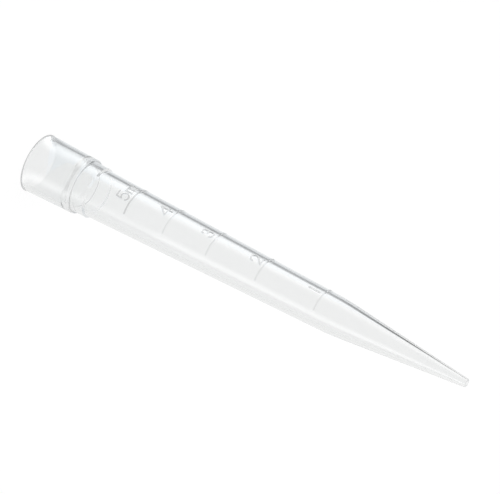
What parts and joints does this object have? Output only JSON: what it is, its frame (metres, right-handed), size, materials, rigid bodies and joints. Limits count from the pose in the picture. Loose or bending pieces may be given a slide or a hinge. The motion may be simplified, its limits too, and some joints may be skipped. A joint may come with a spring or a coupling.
{
  "type": "pipette tip",
  "caption": "Clear moulded pipette tip with a round socket hub, a ledge for the rack, a tapered body with raised volume lines, and a slender cone that ends in a fine orifice.",
  "frame": {"origin": "centre of the hub's mouth, on the plane that the tip stands on", "axes": "+Z along the tip's axis from the hub's mouth to the orifice; -Y faces the middle of the volume scale"},
  "size_m": [0.016, 0.016, 0.1314],
  "materials": {
    "clear_plastic": "clear, gloss"
  },
  "bodies": {
    "root": {"pipette_tip": "clear_plastic"}
  },
  "joints": []
}
